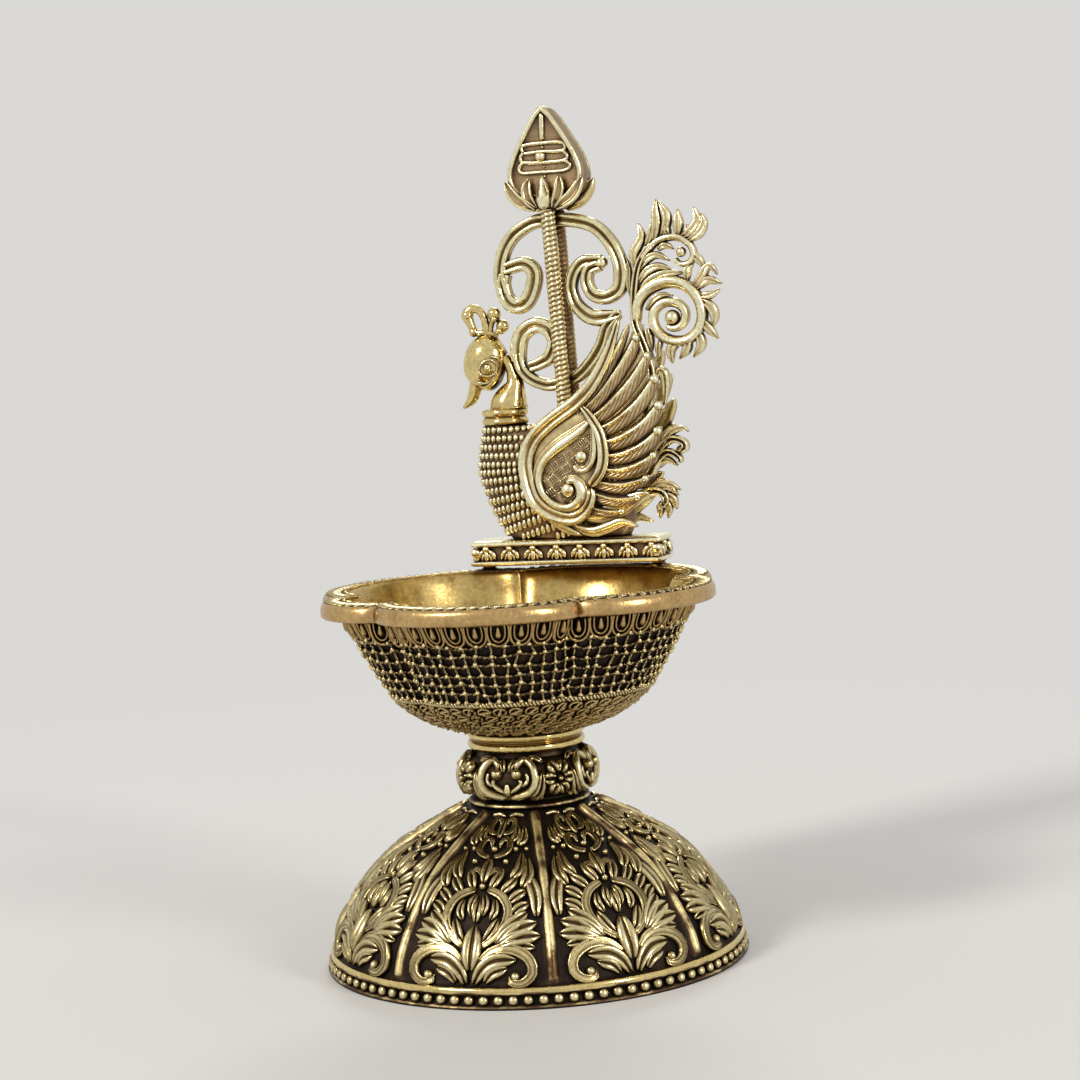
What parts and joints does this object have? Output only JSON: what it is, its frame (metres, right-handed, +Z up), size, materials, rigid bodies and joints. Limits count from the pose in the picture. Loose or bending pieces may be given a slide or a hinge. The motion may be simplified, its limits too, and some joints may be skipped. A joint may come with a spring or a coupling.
{
  "type": "oil lamp",
  "caption": "Cast brass oil lamp: a ribbed dome foot and carved stem carry a lobed bowl, with a peacock, scroll ring and spear on the back rim.",
  "frame": {"origin": "centre of the foot's underside, on the stem's axis", "axes": "+Z up the stem, the bird stands at +Y and looks towards -X, the front of the lamp faces -Y"},
  "size_m": [0.076, 0.076, 0.1541],
  "materials": {
    "antique_brass": "cast, dark patina in the recesses, rubbed bright on the high points",
    "polished_brass": "smooth, rubbed bright",
    "plain_steel": "plain machined"
  },
  "bodies": {
    "root": {"base_dome": "antique_brass", "stem_knop": "antique_brass", "stem_collar": "polished_brass", "tie_stud": "plain_steel", "tie_washer": "plain_steel", "tie_nut": "plain_steel", "bowl": "antique_brass", "plinth_foot_left": "antique_brass", "plinth_foot_right": "antique_brass", "plinth": "antique_brass", "peacock_body": "antique_brass", "neck_collar": "polished_brass", "neck": "polished_brass", "head": "polished_brass", "crest": "polished_brass", "wing_near": "antique_brass", "wing_far": "antique_brass", "skirt_leaf_near": "antique_brass", "skirt_leaf_far": "antique_brass", "tail_plume": "antique_brass", "tail_curl_upper": "antique_brass", "tail_curl_lower": "antique_brass", "scroll_ring": "antique_brass", "vel_shaft": "antique_brass", "vel_head": "antique_brass", "lotus_cup": "polished_brass"}
  },
  "joints": []
}
